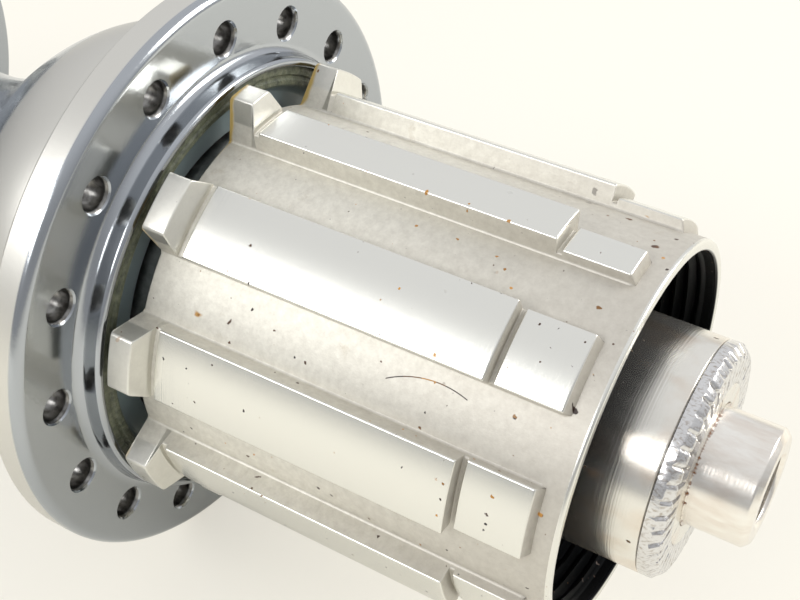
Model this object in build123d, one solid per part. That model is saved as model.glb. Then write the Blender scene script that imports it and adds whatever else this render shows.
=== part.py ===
from build123d import *
import math
import os

os.makedirs("parts", exist_ok=True)

# Bicycle rear hub in millimetres. The hub turns about Y: the drive side is at -Y, +X is forward and +Z is up.
# The origin is on the axle, midway between the two dropout faces. A station is a distance from that middle,
# towards one end or the other. An angle is measured about the axle from +X towards +Z.

# Axle and the width over its locknuts
over_locknuts = 130.0
axle_stub = 5.0
axle_stub_radius = 4.8
axle_thread_radius = 5.0
axle_bore_radius = 3.0
axle_end_chamfer = 0.5
keyway_width = 2.4
keyway_depth = 0.9
keyway_length = 22.0

# Named clearances
thread_gap = 0.03
slip_gap = 0.1
running_gap = 0.06
seal_gap = 0.5
cap_gap = 0.6

# Main bearings: a cone on the axle, large loose balls and a cup on each side
main_ball_diameter = 6.35
main_ball_count = 9
main_ball_circle = 9.5
drive_ball_station = 47.0
left_ball_station = 47.0
cup_wall = 0.75
cup_base = 1.7
cup_lip = 3.9
cup_base_depth = 0.8
cone_land_depth = 1.0
cone_nose_angle = 210.0
cone_across_flats = 15.0
cone_flat_length = 3.2

# Drive-side locknut: a long alloy barrel with a steel ring pressed on its nose
barrel_nut_radius = 9.6
barrel_nut_length = 8.8
serrated_ring_width = 1.6
serrated_ring_bore = 6.6
serrated_ring_bevel = 0.7
serration_count = 44
serration_width = 0.4
serration_depth = 0.3
drive_washer_radius = 8.9
drive_washer_thickness = 1.0

# Left locknut, its ring and spacer
left_nut_across_flats = 17.0
left_nut_length = 4.2
left_ring_width = 1.2
left_ring_radius = 8.6
left_ring_bevel = 0.5
left_washer_radius = 8.4
left_washer_thickness = 1.6
washer_tab_gap = 0.1

# Flanges and spoke holes
flange_radius = 26.4
left_flange_radius = 25.2
flange_corner = 0.5
spoke_circle_radius = 22.4
left_spoke_edge = 3.4
spoke_holes_per_side = 16
spoke_hole_radius = 1.25
spoke_countersink = 0.35
drive_spoke_angle = 17.0
left_spoke_angle = 5.75
drive_flange_thickness = 3.1
left_flange_face = 34.8
left_flange_thickness = 3.0

# Shell between the flanges
drum_radius = 21.0
drum_step = 0.25
drum_length = 3.4
barrel_radius = 9.6
barrel_start = 11.0
left_drum_radius = 17.0
left_drum_length = 3.0
left_flare_length = 12.0
left_end_radius = 15.2
left_end_length = 17.0
shell_bore_radius = 8.0

# Raised lip and recess on the drive side of the shell
lip_height = 2.1
lip_inner_radius = 19.2
lip_width = 0.75
lip_bevel = 0.25
lip_foot = 0.9
lip_driver_gap = 0.8
recess_depth = 2.9

# Splined freehub body
driver_end_station = 59.6
driver_length = 36.4
driver_wall = 1.15
driver_edge_bevel = 0.3
ridge_height = 1.9
low_ridge_height = 0.95
low_ridge_length = 5.2
ridge_end_gap = 2.1
ridge_groove_width = 0.45
ridge_groove_height = 0.5
tab_height = 1.8
tab_length = 2.1
tab_bevel = 0.5
tab_groove_width = 0.5
tab_groove_depth = 0.35
tab_side_angle = 3.2
ridge_angle = 19.7
ridge_pitch = 38.0
first_ridge_angle = 124.8
near_ridge_count = 3
far_ridge_angle = 51.3
hidden_ridge_count = 4
narrow_ridge_angle = 12.5
narrow_ridge_centre = 90.75
key_groove_from = 82.0
key_groove_to = 87.0

# Lockring thread in the open end of the freehub body
lockring_wall = 0.9
lockring_thread_depth = 0.55
lockring_pitch = 1.06
lockring_turns = 5
lockring_plain_depth = 1.4

# Freehub bearings: two rows of small loose balls between the core and the freehub body
small_ball_diameter = 3.175
small_ball_count = 25
drive_cup_wall = 1.6
drive_cup_gap = 0.75

# Ratchet ring, pawls and the spring round them
tooth_count = 36
ratchet_wall = 1.45
tooth_depth = 1.0
tooth_length = 6.5
pawl_count = 2
pawl_first_angle = 100.0
pawl_heel_radius = 1.4
pawl_pivot_depth = 1.6
pawl_reach_angle = 24.0
pawl_bite = 0.5
pawl_tip_depth = 1.45
pawl_length = 5.4
pawl_tooth_angle = 2.3
pocket_extra_angle = 6.0
pocket_depth = 1.3
spring_wire_radius = 0.35
spring_ring_depth = 0.5
spring_slot_depth = 1.2
spring_arc = 350.0

# Freehub core and the hollow bolt that holds it to the shell
core_bore_gap = 0.15
core_flange_width = 3.5
core_flange_gap = 0.85
core_nose_length = 4.5
core_nose_step = 1.2
stub_key_count = 10
stub_wall = 2.65
stub_key_height = 1.3
stub_key_width = 2.4
stub_length = 6.4
bolt_head_step = 1.4
bolt_head_length = 4.0
bolt_head_station = 36.5
bolt_shank_radius = 7.1
bolt_wall = 1.5
bolt_hex = 12.0
bolt_thread_length = 6.0
bolt_end_length = 2.0

# Seals, dust caps, shim and grease sleeve
seal_thickness = 1.0
seal_outer_depth = 0.5
seal_inner_depth = 1.5
seal_core_gap = 0.4
seal_ledge_width = 1.7
seal_slope_width = 0.6
shim_thickness = 0.3
shim_step = 0.2
cap_thickness = 0.6
cone_seal_step = 0.8
cone_seal_thickness = 0.8
shield_thickness = 0.8
shield_width = 1.75
sleeve_end_gap = 0.2
sleeve_seat = 1.0

# Radii of the main bearings, worked out from the balls outwards
main_ball_radius = main_ball_diameter / 2
cup_race_radius = main_ball_radius + running_gap / 2
cone_race_radius = main_ball_radius + running_gap
cone_land_radius = main_ball_circle - cone_land_depth
cup_bore_radius = main_ball_circle - cup_base_depth
cup_mouth_radius = main_ball_circle + cup_race_radius
cup_radius = cup_mouth_radius + cup_wall
cone_seal_radius = cup_mouth_radius - cone_seal_step
nut_bore_radius = axle_thread_radius + thread_gap

# Radii of the freehub body, from the drive cup inside it outwards
drive_cup_radius = cup_mouth_radius + drive_cup_wall
driver_bore_radius = drive_cup_radius + drive_cup_gap
driver_root_radius = driver_bore_radius + driver_wall
ridge_radius = driver_root_radius + ridge_height
low_ridge_radius = driver_root_radius + low_ridge_height
ridge_groove_radius = driver_root_radius + ridge_groove_height
tab_radius = ridge_radius + tab_height
lockring_radius = driver_root_radius - lockring_wall
lockring_minor_radius = lockring_radius - lockring_thread_depth
shield_bore_radius = driver_bore_radius - shield_width

# Radii of the ratchet, the core, the bolt and the seal, from the freehub body's bore inwards
small_ball_radius = small_ball_diameter / 2
small_ball_circle = driver_bore_radius - small_ball_radius - running_gap / 2
core_radius = small_ball_circle - small_ball_radius - running_gap / 2
tooth_root_radius = driver_bore_radius - ratchet_wall
tooth_tip_radius = tooth_root_radius - tooth_depth
pawl_tip_radius = tooth_tip_radius + pawl_bite
pawl_pivot_radius = core_radius - pawl_pivot_depth
pocket_floor_radius = core_radius - pocket_depth
spring_ring_radius = core_radius - spring_ring_depth
spring_slot_radius = core_radius - spring_slot_depth
core_nose_radius = core_radius - core_nose_step
core_flange_radius = driver_bore_radius - core_flange_gap
shim_radius = core_flange_radius - shim_step
core_bore_radius = bolt_shank_radius + core_bore_gap
stub_root_radius = core_bore_radius + stub_wall
stub_tip_radius = stub_root_radius + stub_key_height
bolt_head_radius = bolt_shank_radius + bolt_head_step
bolt_bore_radius = bolt_shank_radius - bolt_wall
sleeve_radius = shell_bore_radius - slip_gap
sleeve_bore_radius = bolt_shank_radius + slip_gap
lip_outer_radius = lip_inner_radius + lip_width
seal_inner_radius = core_flange_radius + seal_core_gap
seal_ledge_radius = lip_inner_radius - seal_ledge_width
left_spoke_circle_radius = left_flange_radius - left_spoke_edge

# Stations that follow from the ones above
dropout_station = over_locknuts / 2
drive_nut_end = dropout_station - serrated_ring_width
drive_nut_start = drive_nut_end - barrel_nut_length
drive_cone_end = drive_nut_start - drive_washer_thickness
left_nut_end = dropout_station - left_ring_width
left_nut_start = left_nut_end - left_nut_length
left_cone_end = left_nut_start - left_washer_thickness
driver_start = driver_end_station - driver_length
lip_station = driver_start - lip_driver_gap
recess_station = lip_station - recess_depth
drive_flange_face = lip_station - lip_height
drive_flange_back = drive_flange_face - drive_flange_thickness
drum_end_station = drive_flange_back - drum_length
left_flange_back = left_flange_face - left_flange_thickness
left_end_station = left_flange_face + left_end_length
drive_cup_seat = drive_ball_station - cup_race_radius
drive_cup_base = drive_cup_seat - cup_base
drive_cup_end = drive_ball_station + cup_lip
left_cup_seat = left_ball_station - cup_race_radius
left_cup_base = left_cup_seat - cup_base
left_cup_end = left_ball_station + cup_lip
core_flange_start = recess_station + shim_thickness
core_flange_end = core_flange_start + core_flange_width
inboard_ball_station = core_flange_end + small_ball_radius + running_gap / 2
outboard_ball_station = drive_cup_base - small_ball_radius - running_gap / 2
ratchet_start = inboard_ball_station + small_ball_radius + running_gap
ratchet_end = outboard_ball_station - small_ball_radius - running_gap
tooth_start = (ratchet_start + ratchet_end - tooth_length) / 2
pawl_start = (ratchet_start + ratchet_end - pawl_length) / 2
spring_station = (ratchet_start + ratchet_end) / 2
core_nose_start = drive_cup_base - core_nose_length
stub_end = recess_station - stub_length
boss_end = stub_end - bolt_thread_length
lockring_start = driver_end_station - lockring_plain_depth - lockring_pitch * lockring_turns


def polar(radius, angle):
    """Point at a radius and an angle about the axle, as forward and up distances."""
    return (radius * math.cos(math.radians(angle)), radius * math.sin(math.radians(angle)))


def turned(outline):
    """Solid turned about the axle from (radius, station) points, on the left side."""
    return revolve(make_face(Polyline(*outline, close=True)), Axis.Y)


def drive(left_shape):
    """The drive-side copy of a shape built on the left side."""
    return mirror(left_shape, about=Plane.XZ)


def tube(inner_radius, outer_radius, start, end):
    """Plain ring between two stations, on the left side."""
    return turned([(inner_radius, start), (outer_radius, start), (outer_radius, end), (inner_radius, end)])


def prism(face, start, end):
    """A face drawn forward and up, pushed along the drive side from one station to another."""
    plane = Plane(origin=(0, -start, 0), x_dir=(1, 0, 0), z_dir=(0, -1, 0))
    return extrude(plane * face, end - start)


def polygon(points):
    """Flat face from a list of corners."""
    return make_face(Polyline(*points, close=True))


def race_point(ball_station, race_radius, angle):
    """Point on a main bearing's race, at an angle about the ball from outward towards outboard."""
    across, along = polar(race_radius, angle)
    return (main_ball_circle + across, ball_station + along)


def ball_row(count, ball_radius, circle_radius, y):
    """Loose balls spaced evenly about the axle."""
    places = [polar(circle_radius, 360 * turn / count) for turn in range(count)]
    return Compound(children=[Pos(x, y, z) * Sphere(ball_radius) for x, z in places])


def make_axle():
    """Hollow threaded spindle with plain ends, and a keyway along the thread at each end."""
    tip = dropout_station + axle_stub
    half = turned([
        (axle_bore_radius, 0),
        (axle_thread_radius, 0),
        (axle_thread_radius, dropout_station),
        (axle_stub_radius, dropout_station),
        (axle_stub_radius, tip - axle_end_chamfer),
        (axle_stub_radius - axle_end_chamfer, tip),
        (axle_bore_radius + axle_end_chamfer / 2, tip),
        (axle_bore_radius, tip - axle_end_chamfer / 2),
    ])
    floor = axle_thread_radius - keyway_depth
    keyway = Pos(0, dropout_station - keyway_length / 2, -floor - keyway_depth)
    half -= keyway * Box(keyway_width, keyway_length, 2 * keyway_depth)
    return half + drive(half)


def make_cone(ball_station, end_station):
    """Hardened bearing cone: threaded bore, curved race and a plain land for its seal."""
    nose_radius, nose = race_point(ball_station, cone_race_radius, cone_nose_angle)
    land_angle = math.degrees(math.acos((cone_land_radius - main_ball_circle) / cone_race_radius))
    land = race_point(ball_station, cone_race_radius, land_angle)
    middle = race_point(ball_station, cone_race_radius, (cone_nose_angle + land_angle) / 2)
    outline = [
        ThreePointArc((nose_radius, nose), middle, land),
        Polyline(land, (cone_land_radius, end_station), (nut_bore_radius, end_station), (nut_bore_radius, nose)),
        Line((nut_bore_radius, nose), (nose_radius, nose)),
    ]
    return revolve(make_face(outline), Axis.Y)


def make_left_cone():
    """The left cone, with two flats for a thin spanner."""
    cone = make_cone(left_ball_station, left_cone_end)
    middle = left_cone_end - cone_flat_length / 2
    for side in (-1, 1):
        offset = side * (cone_across_flats + cone_land_radius) / 2
        cone -= Pos(offset, middle, 0) * Box(cone_land_radius, cone_flat_length, 4 * cone_land_radius)
    return cone


def make_cup(ball_station, seat, end_station, base_outline):
    """Bearing cup: a curved race inside, and outside the outline given from its bore to its mouth."""
    race = ThreePointArc(
        race_point(ball_station, cup_race_radius, 0),
        race_point(ball_station, cup_race_radius, -45),
        race_point(ball_station, cup_race_radius, -90),
    )
    outline = [
        race,
        Polyline((main_ball_circle, seat), (cup_bore_radius, seat), *base_outline,
                 (cup_mouth_radius, end_station), (cup_mouth_radius, ball_station)),
    ]
    return revolve(make_face(outline), Axis.Y)


def make_left_cup():
    """Pressed cup in the left end of the shell."""
    outline = [(cup_bore_radius, left_cup_base), (cup_radius, left_cup_base), (cup_radius, left_cup_end)]
    return make_cup(left_ball_station, left_cup_seat, left_cup_end, outline)


def make_drive_cup():
    """Threaded cup on the freehub core. Its step also carries the outboard row of small balls."""
    thread_radius = core_nose_radius + thread_gap
    outline = [
        (cup_bore_radius, drive_cup_base),
        (thread_radius, drive_cup_base),
        (thread_radius, core_nose_start),
        (core_radius, core_nose_start),
        (core_radius, drive_cup_base),
        (drive_cup_radius, drive_cup_base),
        (drive_cup_radius, drive_cup_end),
    ]
    return drive(make_cup(drive_ball_station, drive_cup_seat, drive_cup_end, outline))


def make_keyed_washer(radius, start, thickness):
    """Lock washer with an inner tab that sits in the axle's keyway."""
    washer = tube(nut_bore_radius, radius, start, start + thickness)
    tab_floor = axle_thread_radius - keyway_depth + washer_tab_gap
    tab_height = nut_bore_radius + keyway_depth / 2 - tab_floor
    place = Pos(0, start + thickness / 2, -tab_floor - tab_height / 2)
    return washer + place * Box(keyway_width - 2 * washer_tab_gap, thickness, tab_height)


def make_drive_locknut():
    """Long plain barrel with a threaded bore and a narrow nose that holds the serrated ring."""
    return drive(turned([
        (nut_bore_radius, drive_nut_start),
        (barrel_nut_radius, drive_nut_start),
        (barrel_nut_radius, drive_nut_end),
        (serrated_ring_bore, drive_nut_end),
        (serrated_ring_bore, dropout_station),
        (nut_bore_radius, dropout_station),
    ]))


def make_serrated_ring(outer_radius, width, bevel):
    """Steel ring that bites the dropout: bevelled, with radial cuts across its face."""
    start = dropout_station - width
    ring = turned([
        (serrated_ring_bore, start),
        (outer_radius, start),
        (outer_radius, dropout_station - bevel),
        (outer_radius - bevel, dropout_station),
        (serrated_ring_bore, dropout_station),
    ])
    cut_start = (serrated_ring_bore + outer_radius - bevel) / 2
    cut = Pos(cut_start + outer_radius / 2, dropout_station, 0) * Box(
        outer_radius, 2 * serration_depth, serration_width)
    for turn in range(serration_count):
        ring -= Rot(0, 360 * turn / serration_count, 0) * cut
    return ring


def make_left_locknut():
    """Hexagon locknut with a round nose that holds its ring."""
    hexagon = RegularPolygon(left_nut_across_flats / 2, 6, major_radius=False)
    blank = extrude(Plane.XZ.offset(-left_nut_start) * hexagon, -left_nut_length)
    nose = tube(nut_bore_radius, serrated_ring_bore, left_nut_start, dropout_station)
    return blank + nose - tube(0, nut_bore_radius, left_nut_start, dropout_station)


def make_cone_seal(cup_end):
    """Rubber ring gripping the cone just outside the dust cap."""
    start = cup_end + seal_gap
    return tube(cone_land_radius, cone_seal_radius, start, start + cone_seal_thickness)


def make_dust_cap(cup_end):
    """Pressed steel washer that closes the cup's mouth round the cone."""
    return tube(cone_land_radius + cap_gap, cup_mouth_radius, cup_end - cap_thickness, cup_end)


def keyed_outline(gap):
    """Round stub with square keys on it, or its socket when a gap is given."""
    shape = Circle(stub_root_radius + gap)
    for turn in range(stub_key_count):
        key = Pos(stub_tip_radius / 2, 0) * Rectangle(stub_tip_radius + 2 * gap, stub_key_width + 2 * gap)
        shape += Rot(0, 0, 360 * turn / stub_key_count) * key
    return shape


def spoke_holes(circle_radius, face_station, back_station, first_angle):
    """Ring of spoke holes through a flange, countersunk on both faces, on the left side."""
    wide = spoke_hole_radius + spoke_countersink
    outline = [
        (0, back_station),
        (wide, back_station),
        (spoke_hole_radius, back_station + spoke_countersink),
        (spoke_hole_radius, face_station - spoke_countersink),
        (wide, face_station),
        (0, face_station),
    ]
    hole = turned(outline)
    angles = [first_angle + 360 * turn / spoke_holes_per_side for turn in range(spoke_holes_per_side)]
    places = [polar(circle_radius, angle) for angle in angles]
    return [Pos(x, 0, z) * hole for x, z in places]


def make_shell():
    """Forged alloy shell, turned in one outline from the left end to the drive-side lip."""
    foot_start = (lip_outer_radius, -drive_flange_face - lip_foot)
    foot_end = (lip_outer_radius + lip_foot, -drive_flange_face)
    drum_corner = (drum_radius - drum_step, -drum_end_station)
    waist = (barrel_radius, barrel_start)
    bend = ((drum_corner[0] + waist[0]) / 2, (drum_corner[1] + waist[1]) / 2)
    flare_end = left_flange_back - left_drum_length
    flare_start = (barrel_radius, flare_end - left_flare_length)
    flare_stop = (left_drum_radius, flare_end)
    flare_bend = ((flare_start[0] + flare_stop[0]) / 2, (flare_start[1] + flare_stop[1]) / 2)
    outline = [
        Polyline(
            (lip_inner_radius, -recess_station),
            (lip_inner_radius, -lip_station),
            (lip_outer_radius - lip_bevel, -lip_station),
            (lip_outer_radius, -lip_station + lip_bevel),
            foot_start,
        ),
        TangentArc(foot_start, foot_end, tangent=(0, 1)),
        Polyline(
            foot_end,
            (flange_radius - flange_corner, -drive_flange_face),
            (flange_radius, -drive_flange_face + flange_corner),
            (flange_radius, -drive_flange_back - flange_corner),
            (flange_radius - flange_corner, -drive_flange_back),
            (drum_radius, -drive_flange_back),
            (drum_radius, -drum_end_station),
            drum_corner,
        ),
        TangentArc(drum_corner, bend, tangent=(0, 1)),
        TangentArc(waist, bend, tangent=(0, -1)),
        Line(waist, flare_start),
        TangentArc(flare_start, flare_bend, tangent=(0, 1)),
        TangentArc(flare_stop, flare_bend, tangent=(0, -1)),
        Polyline(
            flare_stop,
            (left_drum_radius, left_flange_back),
            (left_flange_radius - flange_corner, left_flange_back),
            (left_flange_radius, left_flange_back + flange_corner),
            (left_flange_radius, left_flange_face - flange_corner),
            (left_flange_radius - flange_corner, left_flange_face),
            (left_end_radius, left_flange_face),
            (left_end_radius, left_end_station - flange_corner),
            (left_end_radius - flange_corner, left_end_station),
            (cup_radius, left_end_station),
            (cup_radius, left_cup_base),
            (shell_bore_radius, left_cup_base),
            (shell_bore_radius, -boss_end),
            (bolt_shank_radius + thread_gap, -boss_end),
            (bolt_shank_radius + thread_gap, -recess_station),
            (lip_inner_radius, -recess_station),
        ),
    ]
    shell = revolve(make_face(outline), Axis.Y)
    shell -= prism(keyed_outline(slip_gap), stub_end, recess_station)
    shell -= spoke_holes(left_spoke_circle_radius, left_flange_face, left_flange_back, left_spoke_angle)
    drive_holes = spoke_holes(spoke_circle_radius, drive_flange_face, drive_flange_back, drive_spoke_angle)
    shell -= [drive(hole) for hole in drive_holes]
    return shell


def make_shell_seal():
    """Dark rubber ring in the shell's recess, dished towards the freehub body."""
    outer = lip_station - seal_outer_depth
    inner = lip_station - seal_inner_depth
    slope_radius = seal_ledge_radius - seal_slope_width
    return drive(turned([
        (seal_inner_radius, inner),
        (slope_radius, inner),
        (seal_ledge_radius, outer),
        (lip_inner_radius, outer),
        (lip_inner_radius, outer - seal_thickness),
        (seal_ledge_radius, outer - seal_thickness),
        (slope_radius, inner - seal_thickness / 2),
        (seal_inner_radius, inner - seal_thickness / 2),
    ]))


def ridge_prism(centre, width_angle, start, end):
    """One ridge's section, with the slanted sides of its inboard tab, longer than any ridge is tall."""
    half = width_angle / 2
    inner = driver_bore_radius / 2 + driver_root_radius / 2
    corners = [
        polar(inner, centre - half),
        polar(ridge_radius, centre - half),
        polar(tab_radius, centre - half + tab_side_angle),
        polar(tab_radius + tab_bevel, centre - half + tab_side_angle),
        polar(tab_radius + tab_bevel, centre + half - tab_side_angle),
        polar(tab_radius, centre + half - tab_side_angle),
        polar(ridge_radius, centre + half),
        polar(inner, centre + half),
    ]
    return prism(polygon(corners), start, end)


def ridge_profile():
    """Turned blank that all the ridges are cut from: tab, groove, tall ridge, groove and low ridge."""
    tab_end = driver_start + tab_length
    groove_start = tab_end + tab_bevel
    ridge_start = groove_start + tab_groove_width
    low_end = driver_end_station - ridge_end_gap
    low_start = low_end - low_ridge_length
    step = low_start - ridge_groove_width
    inner = driver_bore_radius / 2 + driver_root_radius / 2
    return drive(turned([
        (inner, driver_start),
        (tab_radius, driver_start),
        (tab_radius, tab_end),
        (ridge_radius, groove_start),
        (ridge_radius - tab_groove_depth, groove_start),
        (ridge_radius - tab_groove_depth, ridge_start),
        (ridge_radius, ridge_start),
        (ridge_radius, step),
        (ridge_groove_radius, step),
        (ridge_groove_radius, low_start),
        (low_ridge_radius, low_start),
        (low_ridge_radius, low_end),
        (driver_root_radius, low_end + ridge_groove_width),
        (inner, low_end + ridge_groove_width),
    ]))


def driver_sleeve():
    """Plain wall of the freehub body, with the lockring thread as rings inside its open end."""
    bore = [(driver_bore_radius, driver_start), (driver_bore_radius, lockring_start)]
    for turn in range(lockring_turns):
        crest = lockring_start + (turn + 0.5) * lockring_pitch
        bore.append((lockring_minor_radius, crest))
        bore.append((lockring_radius, crest + lockring_pitch / 2))
    bore.append((lockring_radius, driver_end_station))
    outside = [
        (driver_root_radius - driver_edge_bevel, driver_end_station),
        (driver_root_radius, driver_end_station - driver_edge_bevel),
        (driver_root_radius, driver_start),
    ]
    return drive(turned(bore + outside))


def wide_ridge_angles():
    """Middles of the wide ridges: one on the far side, three on the near side, and four below, evenly."""
    near = [first_ridge_angle + ridge_pitch * turn for turn in range(near_ridge_count)]
    hidden_pitch = (far_ridge_angle + 360 - near[-1]) / (hidden_ridge_count + 1)
    hidden = [near[-1] + hidden_pitch * (turn + 1) for turn in range(hidden_ridge_count)]
    return [far_ridge_angle] + near + hidden


def make_driver():
    """Alloy freehub body: eight wide ridges, one narrow ridge and a key groove beside it."""
    start = driver_start
    end = driver_end_station
    ridges = ridge_prism(narrow_ridge_centre, narrow_ridge_angle, start, end)
    for centre in wide_ridge_angles():
        ridges += ridge_prism(centre, ridge_angle, start, end)
    body = driver_sleeve() + (ridge_profile() & ridges)
    key_start = driver_end_station - ridge_end_gap - low_ridge_length - ridge_groove_width
    key = polygon([
        polar(driver_root_radius, key_groove_from),
        polar(tab_radius, key_groove_from),
        polar(tab_radius, key_groove_to),
        polar(driver_root_radius, key_groove_to),
    ])
    cut = prism(key, key_start, end) - drive(tube(0, driver_root_radius, key_start, end))
    return body - cut


def make_ratchet_ring():
    """Steel ring pressed into the freehub body, with saw teeth inside that catch the pawls one way."""
    ring = drive(tube(tooth_tip_radius, driver_bore_radius, ratchet_start, ratchet_end))
    pitch = 360 / tooth_count
    first = pawl_first_angle + pawl_reach_angle + pawl_tooth_angle
    teeth = []
    for turn in range(tooth_count):
        teeth.append(polar(tooth_root_radius, first + pitch * turn))
        teeth.append(polar(tooth_tip_radius, first + pitch * turn))
    return ring - prism(polygon(teeth), tooth_start, tooth_start + tooth_length)


def spring_slot():
    """Ring-shaped slot in the core and the pawls that the spring lies in."""
    half = spring_wire_radius + slip_gap
    return drive(tube(spring_slot_radius, tooth_root_radius, spring_station - half, spring_station + half))


def make_pawl(angle):
    """Steel pawl: a round heel that rocks in the core, and an arm that reaches a ratchet tooth."""
    heel = polar(pawl_pivot_radius, angle)
    outer_heel = polar(pawl_pivot_radius + pawl_heel_radius, angle + 1)
    inner_heel = polar(pawl_pivot_radius - pawl_heel_radius, angle + 1)
    pitch = 360 / tooth_count
    arm = polygon([
        outer_heel,
        polar(pawl_tip_radius - tooth_depth, angle + pawl_reach_angle - pitch),
        polar(pawl_tip_radius, angle + pawl_reach_angle),
        polar(pawl_tip_radius - pawl_tip_depth, angle + pawl_reach_angle),
        inner_heel,
    ])
    outline = arm + Pos(*heel) * Circle(pawl_heel_radius)
    return prism(outline, pawl_start, pawl_start + pawl_length) - spring_slot()


def pawl_pocket(angle):
    """Pocket in the core: a round socket for the heel and room for the arm to fold in."""
    heel = polar(pawl_pivot_radius, angle)
    end_angle = angle + pawl_reach_angle + pocket_extra_angle
    room = polygon([
        heel,
        polar(tooth_tip_radius, angle + 2),
        polar(tooth_tip_radius, end_angle),
        polar(pocket_floor_radius, end_angle),
        polar(pawl_pivot_radius - pawl_heel_radius - slip_gap, angle),
    ])
    outline = room + Pos(*heel) * Circle(pawl_heel_radius + slip_gap)
    return prism(outline, pawl_start - slip_gap, pawl_start + pawl_length + slip_gap)


def pawl_angles():
    """Angles of the pawl pivots about the axle."""
    return [pawl_first_angle + 360 * turn / pawl_count for turn in range(pawl_count)]


def make_core():
    """Fixed core of the freehub: keyed stub in the shell, flange, ball land, pawl pockets and threaded nose."""
    core = drive(turned([
        (core_bore_radius, stub_end),
        (stub_root_radius, stub_end),
        (stub_root_radius, core_flange_start),
        (core_flange_radius, core_flange_start),
        (core_flange_radius, core_flange_end),
        (core_radius, core_flange_end),
        (core_radius, core_nose_start),
        (core_nose_radius, core_nose_start),
        (core_nose_radius, drive_cup_base),
        (bolt_head_radius + slip_gap, drive_cup_base),
        (bolt_head_radius + slip_gap, bolt_head_station),
        (core_bore_radius, bolt_head_station),
    ]))
    stub = prism(keyed_outline(0) - Circle(core_bore_radius), stub_end, recess_station)
    core += stub
    for angle in pawl_angles():
        core -= pawl_pocket(angle)
    return core - spring_slot()


def make_ring_spring():
    """Open wire ring that presses both pawls outwards."""
    wire = Pos(spring_ring_radius, -spring_station) * Circle(spring_wire_radius)
    return revolve(wire, Axis.Y, spring_arc)


def make_core_bolt():
    """Hollow bolt through the core into the shell, with a hexagon socket in its head."""
    head_end = bolt_head_station + bolt_head_length
    bolt = drive(turned([
        (bolt_bore_radius, boss_end - bolt_end_length),
        (bolt_shank_radius, boss_end - bolt_end_length),
        (bolt_shank_radius, bolt_head_station),
        (bolt_head_radius, bolt_head_station),
        (bolt_head_radius, head_end),
        (bolt_bore_radius, head_end),
    ]))
    return bolt - prism(RegularPolygon(bolt_hex / 2, 6, major_radius=False), bolt_head_station, head_end)


def make_shim():
    """Thin steel shim between the shell and the core's flange."""
    return drive(tube(stub_tip_radius + slip_gap, shim_radius, recess_station, core_flange_start))


def make_grease_sleeve():
    """Plastic tube inside the shell, from the end of the core bolt to the left cup."""
    start = drive(tube(sleeve_bore_radius, sleeve_radius, 0, boss_end - sleeve_end_gap))
    return start + tube(sleeve_bore_radius, sleeve_radius, 0, left_cup_base + sleeve_seat)


def make_driver_shield():
    """Dust shield pressed into the freehub body's bore, outboard of the drive cup."""
    start = drive_cup_end + seal_gap
    return drive(tube(shield_bore_radius, driver_bore_radius, start, start + shield_thickness))


def save(node, shape):
    """Write one sub-part to its own file."""
    export_step(shape, "parts/" + node + ".step")


save("axle", make_axle())
save("drive_cone", drive(make_cone(drive_ball_station, drive_cone_end)))
save("drive_cone_seal", drive(make_cone_seal(drive_cup_end)))
save("drive_lock_washer", drive(make_keyed_washer(drive_washer_radius, drive_cone_end, drive_washer_thickness)))
save("drive_locknut", make_drive_locknut())
save("drive_serrated_ring", drive(make_serrated_ring(barrel_nut_radius, serrated_ring_width, serrated_ring_bevel)))
save("left_cone", make_left_cone())
save("left_cone_seal", make_cone_seal(left_cup_end))
save("left_lock_washer", make_keyed_washer(left_washer_radius, left_cone_end, left_washer_thickness))
save("left_locknut", make_left_locknut())
save("left_serrated_ring", make_serrated_ring(left_ring_radius, left_ring_width, left_ring_bevel))
save("hub_shell", make_shell())
save("left_bearing_cup", make_left_cup())
save("left_main_balls", ball_row(main_ball_count, main_ball_radius, main_ball_circle, left_ball_station))
save("left_dust_cap", make_dust_cap(left_cup_end))
save("grease_sleeve", make_grease_sleeve())
save("shell_seal", make_shell_seal())
save("freehub_core", make_core())
save("freehub_shim", make_shim())
save("freehub_bolt", make_core_bolt())
save("drive_bearing_cup", make_drive_cup())
save("drive_main_balls", ball_row(main_ball_count, main_ball_radius, main_ball_circle, -drive_ball_station))
save("drive_dust_cap", drive(make_dust_cap(drive_cup_end)))
save("freehub_inboard_balls", ball_row(small_ball_count, small_ball_radius, small_ball_circle, -inboard_ball_station))
save("freehub_outboard_balls", ball_row(small_ball_count, small_ball_radius, small_ball_circle, -outboard_ball_station))
save("pawl_ring_spring", make_ring_spring())
save("freehub_body", make_driver())
save("freehub_ratchet_ring", make_ratchet_ring())
save("freehub_dust_shield", make_driver_shield())
for number, angle in enumerate(pawl_angles(), start=1):
    save("pawl_" + str(number), make_pawl(angle))
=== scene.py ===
import bmesh
import bpy
import math
import random
from mathutils import Matrix, Vector


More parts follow.
